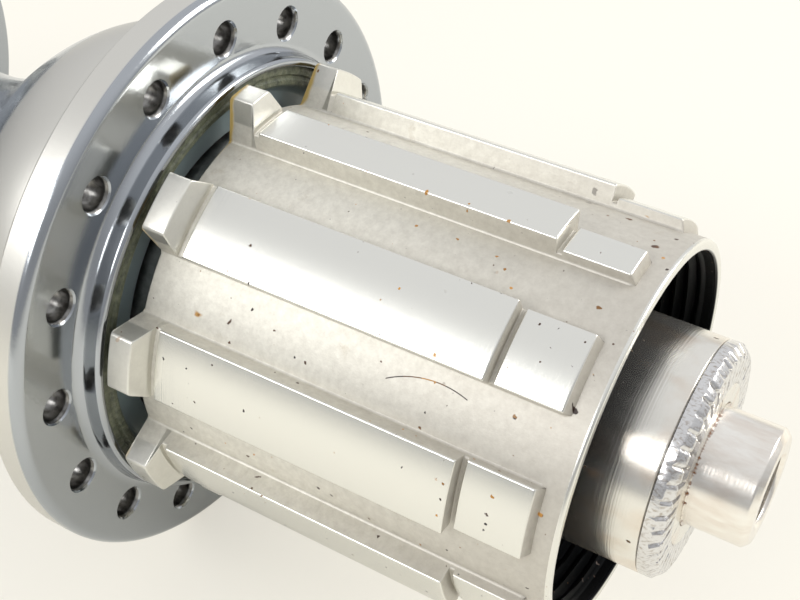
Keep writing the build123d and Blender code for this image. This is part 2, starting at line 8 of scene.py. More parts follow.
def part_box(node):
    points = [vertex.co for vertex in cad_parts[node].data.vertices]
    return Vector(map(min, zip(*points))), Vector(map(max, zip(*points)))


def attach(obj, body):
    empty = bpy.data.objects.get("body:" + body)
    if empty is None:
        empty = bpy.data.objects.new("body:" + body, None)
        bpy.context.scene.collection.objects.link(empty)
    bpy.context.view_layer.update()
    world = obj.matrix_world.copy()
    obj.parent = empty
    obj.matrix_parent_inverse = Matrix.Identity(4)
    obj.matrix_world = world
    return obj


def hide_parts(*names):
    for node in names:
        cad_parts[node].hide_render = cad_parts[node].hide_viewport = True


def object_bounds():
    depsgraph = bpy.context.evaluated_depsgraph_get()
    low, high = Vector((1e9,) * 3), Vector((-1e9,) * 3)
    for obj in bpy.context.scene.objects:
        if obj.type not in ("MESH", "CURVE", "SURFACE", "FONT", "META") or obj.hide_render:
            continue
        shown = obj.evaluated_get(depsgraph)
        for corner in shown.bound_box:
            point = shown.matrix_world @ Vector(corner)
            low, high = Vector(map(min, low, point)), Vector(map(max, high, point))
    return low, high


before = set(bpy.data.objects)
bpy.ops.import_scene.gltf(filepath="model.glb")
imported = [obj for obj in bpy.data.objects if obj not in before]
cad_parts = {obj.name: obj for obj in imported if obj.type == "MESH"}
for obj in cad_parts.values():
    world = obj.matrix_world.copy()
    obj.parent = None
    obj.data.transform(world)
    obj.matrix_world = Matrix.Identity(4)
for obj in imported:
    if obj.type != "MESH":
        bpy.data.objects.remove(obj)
cad_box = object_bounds()


# The camera looks down on the drive side of the hub, as the photograph does. Its place and its lens
# were worked out from the ring of spoke holes and the round edges in the picture, 800 by 600.
MM = 0.001
picture_width = 800.0
focal_length_in_pixels = 1282.2
camera_place = Vector((-68.18, -78.77, 73.25))
camera_data = bpy.data.cameras.new("camera")
camera_data.sensor_width = 36.0
camera_data.lens = camera_data.sensor_width * focal_length_in_pixels / picture_width
camera_data.clip_start = 5 * MM
camera = bpy.data.objects.new("camera", camera_data)
camera_right = Vector((0.51533, -0.85699, 0.0)).normalized()
camera_back = Vector((-0.64793, -0.38962, 0.65451)).normalized()
camera_up = camera_back.cross(camera_right)
camera_turn = Matrix((camera_right, camera_up, camera_back)).transposed().to_4x4()
camera.matrix_world = Matrix.Translation(camera_place * MM) @ camera_turn
bpy.context.collection.objects.link(camera)
bpy.context.scene.camera = camera
bpy.context.scene.view_settings.view_transform = "Standard"


# The hub lies on a sheet of cream paper under a bright window, with the room behind it. The paper
# is a little warm, and the part's soft shadow falls on it.
def linear(hex_colour):
    """Linear colour with full alpha from an sRGB hex colour such as #F4F0E6."""
    channels = [int(hex_colour[place:place + 2], 16) / 255 for place in (1, 3, 5)]
    curve = [c / 12.92 if c <= 0.04045 else ((c + 0.055) / 1.055) ** 2.4 for c in channels]
    return (*curve, 1.0)


def add_node(tree, kind, settings=None, inputs=None, stops=()):
    """One shader node. Settings are its own properties. An input is a value, another node's output, or a
    node, which stands for its first output. Stops are the places and hex colours along a colour ramp."""
    node = tree.nodes.new(kind)
    for name, value in (settings or {}).items():
        setattr(node, name, value)
    for name, value in (inputs or {}).items():
        if isinstance(value, bpy.types.Node):
            value = value.outputs[0]
        if isinstance(value, bpy.types.NodeSocket):
            tree.links.new(value, node.inputs[name])
        else:
            node.inputs[name].default_value = value
    for position, hex_colour in stops[1:-1]:
        node.color_ramp.elements.new(position)
    for number, (position, hex_colour) in enumerate(stops):
        node.color_ramp.elements[number].position = position
        node.color_ramp.elements[number].color = linear(hex_colour)
    return node


def new_material(name):
    """Empty node material and its tree."""
    material = bpy.data.materials.new(name)
    material.use_nodes = True
    material.node_tree.nodes.clear()
    return material, material.node_tree


# Uncoated paper: matt and warm. The camera and the metal see it nearly as white as the overexposed
# picture does.
paper, tree = new_material("cream_paper")
matt_paper = add_node(tree, "ShaderNodeBsdfPrincipled", inputs={
    "Base Color": linear("#F5F2E8"), "Roughness": 0.9, "Specular IOR Level": 0.2})
ray = add_node(tree, "ShaderNodeLightPath")
seen_in_metal = add_node(tree, "ShaderNodeMath", {"operation": "MULTIPLY"}, {
    0: ray.outputs["Is Glossy Ray"], 1: 0.1})
seen = add_node(tree, "ShaderNodeMath", {"operation": "MULTIPLY_ADD"}, {
    0: ray.outputs["Is Camera Ray"], 1: 0.6, 2: seen_in_metal})
white_paper = add_node(tree, "ShaderNodeEmission", inputs={"Color": linear("#FAF6EB"), "Strength": 1.0})
paper_mix = add_node(tree, "ShaderNodeMixShader", inputs={0: seen, 1: matt_paper, 2: white_paper})
add_node(tree, "ShaderNodeOutputMaterial", inputs={"Surface": paper_mix})
half_sheet = 3000 * MM
floor_corners = [(-half_sheet, -half_sheet, 0), (half_sheet, -half_sheet, 0), (half_sheet, half_sheet, 0),
                 (-half_sheet, half_sheet, 0)]
floor_mesh = bpy.data.meshes.new("floor")
floor_mesh.from_pydata(floor_corners, [], [(0, 1, 2, 3)])
floor = bpy.data.objects.new("floor", floor_mesh)
floor.location.z = cad_box[0].z
floor.data.materials.append(paper)
bpy.context.collection.objects.link(floor)

world = bpy.data.worlds.new("room")
world.use_nodes = True
world.node_tree.nodes.clear()
direction = add_node(world.node_tree, "ShaderNodeTexCoord")
towards_window = add_node(world.node_tree, "ShaderNodeVectorMath", {"operation": "DOT_PRODUCT"}, {
    0: direction.outputs["Generated"], 1: (0.5, 0.0, 0.85)})
room_brightness = add_node(world.node_tree, "ShaderNodeMapRange", {"interpolation_type": "SMOOTHSTEP"}, {
    "Value": towards_window.outputs["Value"], "From Min": -0.1, "From Max": 0.85,
    "To Min": 0.5, "To Max": 0.95})
room_light = add_node(world.node_tree, "ShaderNodeBackground", inputs={
    "Color": linear("#FBFCFF"), "Strength": room_brightness})
add_node(world.node_tree, "ShaderNodeOutputWorld", inputs={"Surface": room_light})
bpy.context.scene.world = world


def add_light(name, place, target, width, height, watts, hex_colour):
    """Soft rectangular lamp, aimed at a point. Lengths are in millimetres."""
    data = bpy.data.lights.new(name, "AREA")
    data.shape = "RECTANGLE"
    data.size = width * MM
    data.size_y = height * MM
    data.energy = watts
    data.color = linear(hex_colour)[:3]
    lamp = bpy.data.objects.new(name, data)
    lamp.location = Vector(place) * MM
    lamp.rotation_euler = (Vector(target) - Vector(place)).to_track_quat("-Z", "Y").to_euler()
    bpy.context.collection.objects.link(lamp)


lit_place = (0, -30, 0)
add_light("window", (-264, 93, 220), lit_place, 250, 110, 0.66, "#FFFFFF")
add_light("lamp", (240, -270, 210), lit_place, 190, 190, 0.8, "#FFFDF8")


# Hub shell: forged aluminium, turned in one piece and polished. The back of its drive flange and the
# drum beside it are left satin. The spoke holes are drilled and lightly countersunk.
def cad_reach(node):
    """Radius, lowest station and highest station of a CAD node, in millimetres."""
    low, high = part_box(node)
    return round(high.x / MM, 3), round(low.y / MM, 3), round(high.y / MM, 3)


def eased(corners, steps=5):
    """Outline with its corners rounded. A corner is (radius, station) or (radius, station, rounding)."""
    points = []
    count = len(corners)
    for place, corner in enumerate(corners):
        here = Vector(corner[:2])
        if len(corner) == 2:
            points.append(here)
            continue
        before = (Vector(corners[place - 1][:2]) - here).normalized()
        after = (Vector(corners[(place + 1) % count][:2]) - here).normalized()
        half = before.angle(after) / 2
        reach = corner[2] / math.tan(half)
        centre = here + (before + after).normalized() * (corner[2] / math.sin(half))
        first = here + before * reach - centre
        last = here + after * reach - centre
        swing = first.angle_signed(last)
        for step in range(steps + 1):
            turn = Matrix.Rotation(-swing * step / steps, 2)
            points.append(centre + turn @ first)
    return points


def turned_mesh(name, outline, segments=288, first_angle=0.0):
    """Mesh turned about the axle from a closed outline of (radius, station) points."""
    bm = bmesh.new()
    rings = []
    for turn in range(segments):
        angle = math.radians(first_angle) + 2 * math.pi * turn / segments
        across = Vector((math.cos(angle), 0, math.sin(angle)))
        rings.append([bm.verts.new(across * radius + Vector((0, y, 0))) for radius, y in outline])
    count = len(outline)
    for turn in range(segments):
        here = rings[turn]
        there = rings[(turn + 1) % segments]
        for place in range(count):
            follow = (place + 1) % count
            bm.faces.new((here[place], here[follow], there[follow], there[place]))
    bmesh.ops.recalc_face_normals(bm, faces=bm.faces)
    mesh = bpy.data.meshes.new(name)
    bm.to_mesh(mesh)
    bm.free()
    return mesh


def add_piece(name, mesh, material, body, replaced):
    """Object of this name from a mesh in millimetres, smooth but for its sharp edges. It rides on a body
    and stands for a CAD node."""
    mesh.transform(Matrix.Scale(MM, 4))
    mesh.shade_smooth()
    mesh.set_sharp_from_angle(angle=math.radians(34))
    mesh.materials.clear()
    mesh.materials.append(material)
    piece = bpy.data.objects.new(name, mesh)
    bpy.context.collection.objects.link(piece)
    weighted = piece.modifiers.new("even_shading", "WEIGHTED_NORMAL")
    weighted.keep_sharp = True
    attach(piece, body)
    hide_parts(replaced)
    return piece


def carve(mesh, cutter):
    """Mesh with another cut from it."""
    target = bpy.data.objects.new("target", mesh)
    tool = bpy.data.objects.new("tool", cutter)
    for thing in (target, tool):
        bpy.context.collection.objects.link(thing)
    change = target.modifiers.new("change", "BOOLEAN")
    change.operation = "DIFFERENCE"
    change.solver = "EXACT"
    change.object = tool
    changed = bpy.data.meshes.new_from_object(target.evaluated_get(bpy.context.evaluated_depsgraph_get()))
    for thing in (target, tool):
        bpy.data.objects.remove(thing)
    return changed


def flare(first, last, steps=20):
    """Points of a flare: two arcs that leave both ends along the axle. Each end is (radius, station)."""
    rise = (last[0] - first[0]) / 2
    run = (last[1] - first[1]) / 2
    bend = (run * run + rise * rise) / (2 * abs(rise))
    points = []
    for step in range(steps + 1):
        along = 2 * run * step / steps
        near = along if step <= steps / 2 else 2 * run - along
        drop = math.copysign(bend - math.sqrt(bend * bend - near * near), rise)
        points.append((first[0] + drop if step <= steps / 2 else last[0] - drop, first[1] + along))
    return points


flange_radius, lip_face, shell_end = cad_reach("hub_shell")
flange_face = -20.3
flange_back = -17.2
lip_radius = 19.95
recess_radius = 19.2
recess_floor = -19.5
drum_radius = 21.0
drum_step = 0.25
drum_end = -13.8
waist_radius = 9.6
waist_start = 11.0
waist_end = 16.8
left_drum_radius = 17.0
left_drum_start = 28.8
left_flange_radius = 25.2
left_flange_back = 31.8
left_flange_face = 34.8
left_end_radius = 15.2
cup_seat_radius = 13.46
cup_seat_floor = 42.1
shell_bore = 8.0
core_seat_radius = 7.15
core_seat_start = -7.1
core_seat_end = -13.1
core_pocket_radius = 11.3
shell_corners = [
    (recess_radius, recess_floor), (recess_radius, lip_face, 0.3), (lip_radius, lip_face, 0.4),
    (lip_radius, flange_face, 0.85), (flange_radius, flange_face, 0.85), (flange_radius, flange_back, 0.25),
    (drum_radius, flange_back, 0.5), (drum_radius, drum_end, 0.1)]
shell_corners += flare((drum_radius - drum_step, drum_end), (waist_radius, waist_start), 40)
shell_corners += flare((waist_radius, waist_end), (left_drum_radius, left_drum_start))
shell_corners += [
    (left_drum_radius, left_flange_back, 0.5), (left_flange_radius, left_flange_back, 0.6),
    (left_flange_radius, left_flange_face, 0.6), (left_end_radius, left_flange_face, 0.5),
    (left_end_radius, shell_end, 0.6), (cup_seat_radius, shell_end, 0.15), (cup_seat_radius, cup_seat_floor),
    (shell_bore, cup_seat_floor), (shell_bore, core_seat_start), (core_seat_radius, core_seat_start),
    (core_seat_radius, core_seat_end), (core_pocket_radius, core_seat_end),
    (core_pocket_radius, recess_floor)]
# The mesh starts a little way round, so that none of its lines meets the edge of a spoke hole.
shell_mesh = turned_mesh("hub_shell", eased(shell_corners), first_angle=0.8)

hole_radius = 1.25
hole_count = 16
hole_pitch = 360 / hole_count


def hole_mesh(circle, first_angle, outer, inner):
    """Cutters for a ring of spoke holes between two stations, countersunk with eased edges."""
    middle = (outer + inner) / 2
    side = math.copysign(1, outer - inner)
    half = abs(outer - inner) / 2
    countersink = [(0.0, 0.46), (0.02, 0.36), (0.08, 0.25), (0.18, 0.13), (0.29, 0.04), (0.35, -0.04)]
    section = [(hole_radius, 0)] + [(hole_radius + wider, half - deep) for wider, deep in countersink]
    rings = [(r, -h) for r, h in reversed(section)] + section[1:]
    sides = 40
    bm = bmesh.new()
    for turn in range(hole_count):
        angle = math.radians(first_angle + hole_pitch * turn)
        centre = Vector((circle * math.cos(angle), middle, circle * math.sin(angle)))
        loops = []
        for radius, height in rings:
            loop = []
            for step in range(sides):
                spin = 2 * math.pi * step / sides
                offset = Vector((radius * math.cos(spin), side * height, radius * math.sin(spin)))
                loop.append(bm.verts.new(centre + offset))
            loops.append(loop)
        for lower, upper in zip(loops, loops[1:]):
            for step in range(sides):
                follow = (step + 1) % sides
                bm.faces.new((lower[step], lower[follow], upper[follow], upper[step]))
        bm.faces.new(loops[0])
        bm.faces.new(loops[-1])
    bmesh.ops.recalc_face_normals(bm, faces=bm.faces)
    mesh = bpy.data.meshes.new("spoke_holes")
    bm.to_mesh(mesh)
    bm.free()
    return mesh


drive_holes = (22.4, 17.0, flange_face, flange_back)
left_holes = (21.8, 5.75, left_flange_face, left_flange_back)
for holes in (drive_holes, left_holes):
    shell_mesh = carve(shell_mesh, hole_mesh(*holes))


def per_metre(size):
    """How many times a pattern of this size in millimetres fits in a metre."""
    return 1 / (size * MM)


def specks(tree, place, spacing, share, largest, dimensions="2D"):
    """Mask of scattered ragged specks and a random value for each. Cells are this far apart in
    millimetres, a share of them holds a speck, and the largest reaches that part of a cell."""
    cells = per_metre(spacing)
    ragged = add_node(tree, "ShaderNodeTexNoise", inputs={
        "Vector": place, "Scale": cells * 3.0, "Detail": 3.0})
    shift = add_node(tree, "ShaderNodeVectorMath", {"operation": "SCALE"}, {
        0: ragged.outputs["Color"], "Scale": 0.35 / cells})
    moved = add_node(tree, "ShaderNodeVectorMath", {"operation": "ADD"}, {0: place, 1: shift})
    cell = add_node(tree, "ShaderNodeTexVoronoi", {"voronoi_dimensions": dimensions}, {
        "Vector": moved, "Scale": cells})
    chance = add_node(tree, "ShaderNodeSeparateColor", inputs={"Color": cell.outputs["Color"]})
    mostly_small = add_node(tree, "ShaderNodeMath", {"operation": "POWER"}, {
        0: chance.outputs["Green"], 1: 2.5})
    size = add_node(tree, "ShaderNodeMath", {"operation": "MULTIPLY"}, {0: mostly_small, 1: largest})
    inside = add_node(tree, "ShaderNodeMath", {"operation": "SUBTRACT"}, {
        0: size, 1: cell.outputs["Distance"]})
    soft = add_node(tree, "ShaderNodeMapRange", inputs={"Value": inside, "From Min": 0.0, "From Max": 0.03})
    kept = add_node(tree, "ShaderNodeMath", {"operation": "LESS_THAN"}, {0: chance.outputs["Red"], 1: share})
    mask = add_node(tree, "ShaderNodeMath", {"operation": "MULTIPLY"}, {0: soft, 1: kept})
    return mask, chance.outputs["Blue"]


# Polished aluminium: a clear grey mirror with a little haze and a few dark pits. Where it is left
# satin it is paler and blurs what it mirrors. Its grain is drawn as coarse as it needs to show.
satin_end = -6.5
polished, tree = new_material("polished_aluminium")
place = add_node(tree, "ShaderNodeTexCoord").outputs["Object"]
haze = add_node(tree, "ShaderNodeTexNoise", inputs={
    "Vector": place, "Scale": per_metre(11.11), "Detail": 4.0})
haze_rough = add_node(tree, "ShaderNodeMapRange", inputs={
    "Value": haze, "From Min": 0.35, "From Max": 0.7, "To Min": 0.14, "To Max": 0.21})
station = add_node(tree, "ShaderNodeSeparateXYZ", inputs={"Vector": place}).outputs["Y"]
past_recess = add_node(tree, "ShaderNodeMapRange", inputs={
    "Value": station, "From Min": (recess_floor - 0.05) * MM, "From Max": (recess_floor + 0.1) * MM})
before_waist = add_node(tree, "ShaderNodeMapRange", inputs={
    "Value": station, "From Min": (satin_end - 0.3) * MM, "From Max": (satin_end + 0.3) * MM,
    "To Min": 1.0, "To Max": 0.0})
satin_part = add_node(tree, "ShaderNodeMath", {"operation": "MULTIPLY"}, {0: past_recess, 1: before_waist})
shell_rough = add_node(tree, "ShaderNodeMix", {"data_type": "FLOAT"}, {
    "Factor": satin_part, "A": haze_rough, "B": 0.4})
shell_tone = add_node(tree, "ShaderNodeMix", {"data_type": "RGBA"}, {
    "Factor": satin_part, "A": linear("#A9ADB1"), "B": linear("#D2D0C9")})
grain = add_node(tree, "ShaderNodeTexNoise", inputs={
    "Vector": place, "Scale": per_metre(0.385), "Detail": 2.0})
pits = specks(tree, place, 2.381, 0.5, 0.14, "3D")[0]
pit_depth = add_node(tree, "ShaderNodeMath", {"operation": "MULTIPLY"}, {0: pits, 1: 4.0})
pitted = add_node(tree, "ShaderNodeMath", {"operation": "SUBTRACT"}, {0: grain, 1: pit_depth})
grain_bump = add_node(tree, "ShaderNodeBump", inputs={
    "Height": pitted, "Strength": 0.1, "Distance": 0.05 * MM})
pit_shade = add_node(tree, "ShaderNodeMath", {"operation": "MULTIPLY"}, {0: pits, 1: 0.6})
marked_tone = add_node(tree, "ShaderNodeMix", {"data_type": "RGBA"}, {
    "Factor": pit_shade, "A": shell_tone.outputs["Result"], "B": linear("#4A4744")})
shader = add_node(tree, "ShaderNodeBsdfPrincipled", inputs={
    "Base Color": marked_tone.outputs["Result"], "Metallic": 1.0, "Roughness": shell_rough,
    "Normal": grain_bump})
add_node(tree, "ShaderNodeOutputMaterial", inputs={"Surface": shader})
shell = add_piece("hub_shell_turned", shell_mesh, polished, "hub", "hub_shell")

# Drilled aluminium inside the spoke holes: bare metal drawn dark grey as painted shade in the holes, darker
# in noise patches.
drilled, tree = new_material("drilled_aluminium_painted_shade")
place = add_node(tree, "ShaderNodeTexCoord").outputs["Object"]
hole_shade_noise = add_node(tree, "ShaderNodeTexNoise", inputs={
    "Vector": place, "Scale": per_metre(0.714), "Detail": 4.0})
hole_shade_tone = add_node(tree, "ShaderNodeValToRGB", inputs={"Fac": hole_shade_noise}, stops=[
    (0.35, "#5E5C59"), (0.65, "#9C9B98")])
shader = add_node(tree, "ShaderNodeBsdfPrincipled", inputs={
    "Base Color": hole_shade_tone, "Metallic": 1.0, "Roughness": 0.3})
add_node(tree, "ShaderNodeOutputMaterial", inputs={"Surface": shader})
shell.data.materials.append(drilled)
# Faces inside each spoke hole, between the two flange faces, take the dark hole metal: painted shade in the
# holes.
for circle, first_angle, outer, inner in (drive_holes, left_holes):
    for face in shell.data.polygons:
        x, y, z = face.center / MM
        turn = round((math.degrees(math.atan2(z, x)) - first_angle) / hole_pitch) * hole_pitch + first_angle
        hole_x = circle * math.cos(math.radians(turn))
        hole_z = circle * math.sin(math.radians(turn))
        between_faces = min(outer, inner) + 0.04 < y < max(outer, inner) - 0.04
        if between_faces and math.hypot(x - hole_x, z - hole_z) < hole_radius + 0.2:
            face.material_index = 1


# Freehub body: a splined sleeve turned and milled from aluminium, left satin. Eight wide ridges and a
# narrow one hold the sprockets. Each ridge has a tab at its inboard end and a lower stretch outboard.
def joined(name, meshes):
    """One mesh from several."""
    bm = bmesh.new()
    for part in meshes:
        bm.from_mesh(part)
    mesh = bpy.data.meshes.new(name)
    bm.to_mesh(mesh)
    bm.free()
    return mesh


driver_end, driver_start = (-station for station in cad_reach("freehub_body")[1:])
driver_root = 16.205
driver_bore = 15.055
ridge_top = 18.105
tab_top = 19.905
tab_end = 25.3
tab_foot = 25.8
tab_groove_end = 26.3
tab_groove_depth = 0.35
low_top = 17.155
step_floor = 16.705
step_start = 51.85
step_end = 52.3
low_end = 57.5
low_foot = 58.02
ridge_line = [
    (tab_top, driver_start, 0.14), (tab_top, tab_end, 0.16), (ridge_top, tab_foot, 0.1),
    (ridge_top - tab_groove_depth, tab_foot, 0.1), (ridge_top - tab_groove_depth, tab_groove_end, 0.1),
    (ridge_top, tab_groove_end, 0.12), (ridge_top, step_start, 0.12), (step_floor, step_start, 0.1),
    (step_floor, step_end, 0.1), (low_top, step_end, 0.12), (low_top, low_end, 0.2),
    (driver_root - 0.15, low_foot)]


def ridge_section(top, first, last):
    """Closed outline of a ridge across its width: foot fillet, slanted side, eased edge and top."""
    foot = 0.28
    edge = 0.16
    tab_lean = 3.2
    quarter = [math.radians(22.5 * step) for step in range(5)]
    sides = [(driver_root - 0.6, 0.0)]
    sides += [(driver_root - 0.03 + foot * (1 - math.cos(swing)), -foot * (1 - math.sin(swing)))
              for swing in quarter]
    sides += [(top - edge * (1 - math.sin(swing)), edge * (1 - math.cos(swing))) for swing in quarter]
    count = len(sides)
    rising = []
    for place, (radius, offset) in enumerate(sides):
        if place < count - len(quarter):
            radius = min(radius, top - edge * 0.02 * (count - 1 - place))
        lean = tab_lean * min(max((radius - ridge_top) / (tab_top - ridge_top), 0), 1)
        rising.append((radius, lean + math.degrees(offset / radius)))
    flat = 12
    inner_first = first + rising[-1][1]
    inner_last = last - rising[-1][1]
    across = [(top, inner_first + (inner_last - inner_first) * step / flat) for step in range(1, flat)]
    falling = [(radius, last - shift) for radius, shift in reversed(rising)]
    return [(radius, first + shift) for radius, shift in rising] + across + falling


def ridge_mesh(first, last, low_first):
    """One ridge along its whole length between two angles. Its low outboard stretch may start later."""
    line = eased(ridge_line + [(driver_root - 0.5, low_foot), (driver_root - 0.5, driver_start)])[:-2]
    bm = bmesh.new()
    loops = []
    passed_step = False
    for top, station in line:
        passed_step = passed_step or (station > step_start - 0.02 and top < ridge_top - 0.2)
        section = ridge_section(top, low_first if passed_step else first, last)
        loops.append([bm.verts.new((
            radius * math.cos(math.radians(angle)), -station, radius * math.sin(math.radians(angle))))
            for radius, angle in section])
    count = len(loops[0])
    for here, there in zip(loops, loops[1:]):
        for place in range(count):
            follow = (place + 1) % count
            bm.faces.new((here[place], here[follow], there[follow], there[place]))
    bm.faces.new(loops[0])
    bm.faces.new(loops[-1])
    bmesh.ops.remove_doubles(bm, verts=bm.verts, dist=0.0001)
    bmesh.ops.recalc_face_normals(bm, faces=bm.faces)
    mesh = bpy.data.meshes.new("ridge")
    bm.to_mesh(mesh)
    bm.free()
    return mesh


thread_start = 52.6
thread_end = 58.4
thread_pitch = 1.06
thread_depth = 0.275
thread_middle = 15.03
thread_line = [(thread_middle, -thread_start - 0.09 * step) for step in range(65)]
sleeve_corners = [(driver_bore, -driver_start - 0.02, 0.12), (driver_bore, -thread_start + 0.2)]
sleeve_corners += thread_line + [
    (driver_bore + 0.145, -thread_end - 0.2, 0.1), (driver_bore + 0.245, -driver_end, 0.22),
    (driver_root, -driver_end, 0.24), (driver_root, -driver_start - 0.02, 0.12)]
sleeve_mesh = turned_mesh("freehub_sleeve", eased(sleeve_corners))
for vertex in sleeve_mesh.vertices:
    x, y, z = vertex.co
    radius = math.hypot(x, z)
    if thread_start < -y < thread_end and radius < driver_root - 0.6:
        turns = -y / thread_pitch - math.atan2(z, x) / (2 * math.pi)
        wave = 1 - 2 * abs(2 * (turns % 1) - 1)
        fade = min(1, (-y - thread_start) / 0.5, (thread_end + y) / 0.5)
        wider = 1 + wave * thread_depth * fade / radius
        vertex.co *= Vector((wider, 1, wider))

far_ridge = 51.3
near_ridges = [124.8, 162.8, 200.8]
hidden_count = 4
hidden_pitch = (far_ridge + 360 - near_ridges[-1]) / (hidden_count + 1)
hidden_ridges = [near_ridges[-1] + hidden_pitch * turn for turn in range(1, hidden_count + 1)]
half_ridge = 9.85
narrow_first = 84.5
narrow_last = 97.0
key_groove_end = 87.0
ridges = [ridge_mesh(centre - half_ridge, centre + half_ridge, centre - half_ridge)
          for centre in [far_ridge] + near_ridges + hidden_ridges]
ridges.append(ridge_mesh(narrow_first, narrow_last, key_groove_end))
driver_mesh = joined("freehub_body", [sleeve_mesh] + ridges)


def axle_lengths(tree):
    """Object coordinates unrolled about the axle, in metres, along the arc at 17 mm, along the axle and
    out from it. The radius comes on its own too."""
    place = add_node(tree, "ShaderNodeTexCoord")
    parts = add_node(tree, "ShaderNodeSeparateXYZ", inputs={"Vector": place.outputs["Object"]})
    turn = add_node(tree, "ShaderNodeMath", {"operation": "ARCTAN2"}, {
        0: parts.outputs["Z"], 1: parts.outputs["X"]})
    arc = add_node(tree, "ShaderNodeMath", {"operation": "MULTIPLY"}, {0: turn, 1: 17 * MM})
    flat = add_node(tree, "ShaderNodeCombineXYZ", inputs={"X": parts.outputs["X"], "Z": parts.outputs["Z"]})
    radius = add_node(tree, "ShaderNodeVectorMath", {"operation": "LENGTH"}, {0: flat}).outputs["Value"]
    unrolled = add_node(tree, "ShaderNodeCombineXYZ", inputs={"X": arc, "Y": parts.outputs["Y"], "Z": radius})
    return unrolled, radius


def ring_mark(tree, place, centre, radius, width):
    """Mask of a thin ring drawn on unrolled coordinates. Lengths are in millimetres."""
    flat = add_node(tree, "ShaderNodeVectorMath", {"operation": "MULTIPLY"}, {0: place, 1: (1.0, 1.0, 0.0)})
    away = add_node(tree, "ShaderNodeVectorMath", {"operation": "DISTANCE"}, {
        0: flat, 1: (centre[0] * MM, centre[1] * MM, 0.0)})
    past_line = add_node(tree, "ShaderNodeMath", {"operation": "SUBTRACT"}, {
        0: away.outputs["Value"], 1: radius * MM})
    off_line = add_node(tree, "ShaderNodeMath", {"operation": "ABSOLUTE"}, {0: past_line})
    return add_node(tree, "ShaderNodeMapRange", inputs={
        "Value": off_line, "From Min": width * 0.5 * MM, "From Max": width * MM,
        "To Min": 1.0, "To Max": 0.0})


# Satin aluminium: pale grey and softly bright. The sprockets have rubbed the ridges' tops glossier, and
# fine lathe lines show there. The grooves keep a dull blasted skin. Lathe lines and blasting are drawn
# coarser than they are, so that they show.
bore_limit = 15.4
satin, tree = new_material("satin_aluminium")
unrolled, radius = axle_lengths(tree)
along = add_node(tree, "ShaderNodeSeparateXYZ", inputs={"Vector": unrolled})
station = along.outputs["Y"]
tall_radius = add_node(tree, "ShaderNodeMapRange", inputs={
    "Value": radius, "From Min": (ridge_top - 0.225) * MM, "From Max": (ridge_top - 0.065) * MM})
past_tab = add_node(tree, "ShaderNodeMapRange", inputs={
    "Value": station, "From Min": -(tab_foot + 0.1) * MM, "From Max": -(tab_foot - 0.2) * MM,
    "To Min": 1.0, "To Max": 0.55})
tall_top = add_node(tree, "ShaderNodeMath", {"operation": "MULTIPLY"}, {0: tall_radius, 1: past_tab})
low_radius = add_node(tree, "ShaderNodeMapRange", inputs={
    "Value": radius, "From Min": (low_top - 0.125) * MM, "From Max": (low_top - 0.045) * MM})
past_step = add_node(tree, "ShaderNodeMath", {"operation": "LESS_THAN"}, {
    0: station, 1: -(step_end - 0.2) * MM})
low_stretch = add_node(tree, "ShaderNodeMath", {"operation": "MULTIPLY"}, {0: low_radius, 1: past_step})
ridge_tops = add_node(tree, "ShaderNodeMath", {"operation": "MAXIMUM"}, {0: tall_top, 1: low_stretch})
open_edge = add_node(tree, "ShaderNodeMath", {"operation": "LESS_THAN"}, {
    0: station, 1: -(driver_end - 0.3) * MM})
on_top = add_node(tree, "ShaderNodeMath", {"operation": "MAXIMUM"}, {0: ridge_tops, 1: open_edge})
in_bore = add_node(tree, "ShaderNodeMapRange", inputs={
    "Value": radius, "From Min": (bore_limit - 0.05) * MM, "From Max": (bore_limit + 0.05) * MM,
    "To Min": 1.0, "To Max": 0.0})
clean_metal = add_node(tree, "ShaderNodeMath", {"operation": "MAXIMUM"}, {0: on_top, 1: in_bore})
in_groove = add_node(tree, "ShaderNodeMath", {"operation": "SUBTRACT"}, {0: 1.0, 1: clean_metal})
off_tops = add_node(tree, "ShaderNodeMapRange", inputs={"Value": on_top, "To Min": 1.0, "To Max": 0.0})

lathe = add_node(tree, "ShaderNodeMapping", inputs={
    "Vector": unrolled, "Scale": (per_metre(16.67), per_metre(0.111), per_metre(16.67))})
lathe_lines = add_node(tree, "ShaderNodeTexNoise", inputs={"Vector": lathe, "Scale": 1.0, "Detail": 3.0})
blasted = add_node(tree, "ShaderNodeTexNoise", inputs={
    "Vector": unrolled, "Scale": per_metre(0.238), "Detail": 3.0})
relief = add_node(tree, "ShaderNodeMix", {"data_type": "FLOAT"}, {
    "Factor": on_top, "A": blasted, "B": lathe_lines})
relief_bump = add_node(tree, "ShaderNodeBump", inputs={
    "Height": relief, "Strength": 0.5, "Distance": 0.02 * MM})
mottle = add_node(tree, "ShaderNodeTexNoise", inputs={
    "Vector": unrolled, "Scale": per_metre(0.7692), "Detail": 9.0, "Roughness": 0.75})
groove_tone = add_node(tree, "ShaderNodeValToRGB", inputs={"Fac": mottle}, stops=[
    (0.3, "#C8C4B9"), (0.65, "#DFDCD1")])
gloss = add_node(tree, "ShaderNodeMapRange", inputs={"Value": on_top, "To Min": 0.5, "To Max": 0.27})
film_metal = add_node(tree, "ShaderNodeMapRange", inputs={
    "Value": clean_metal, "To Min": 0.45, "To Max": 1.0})

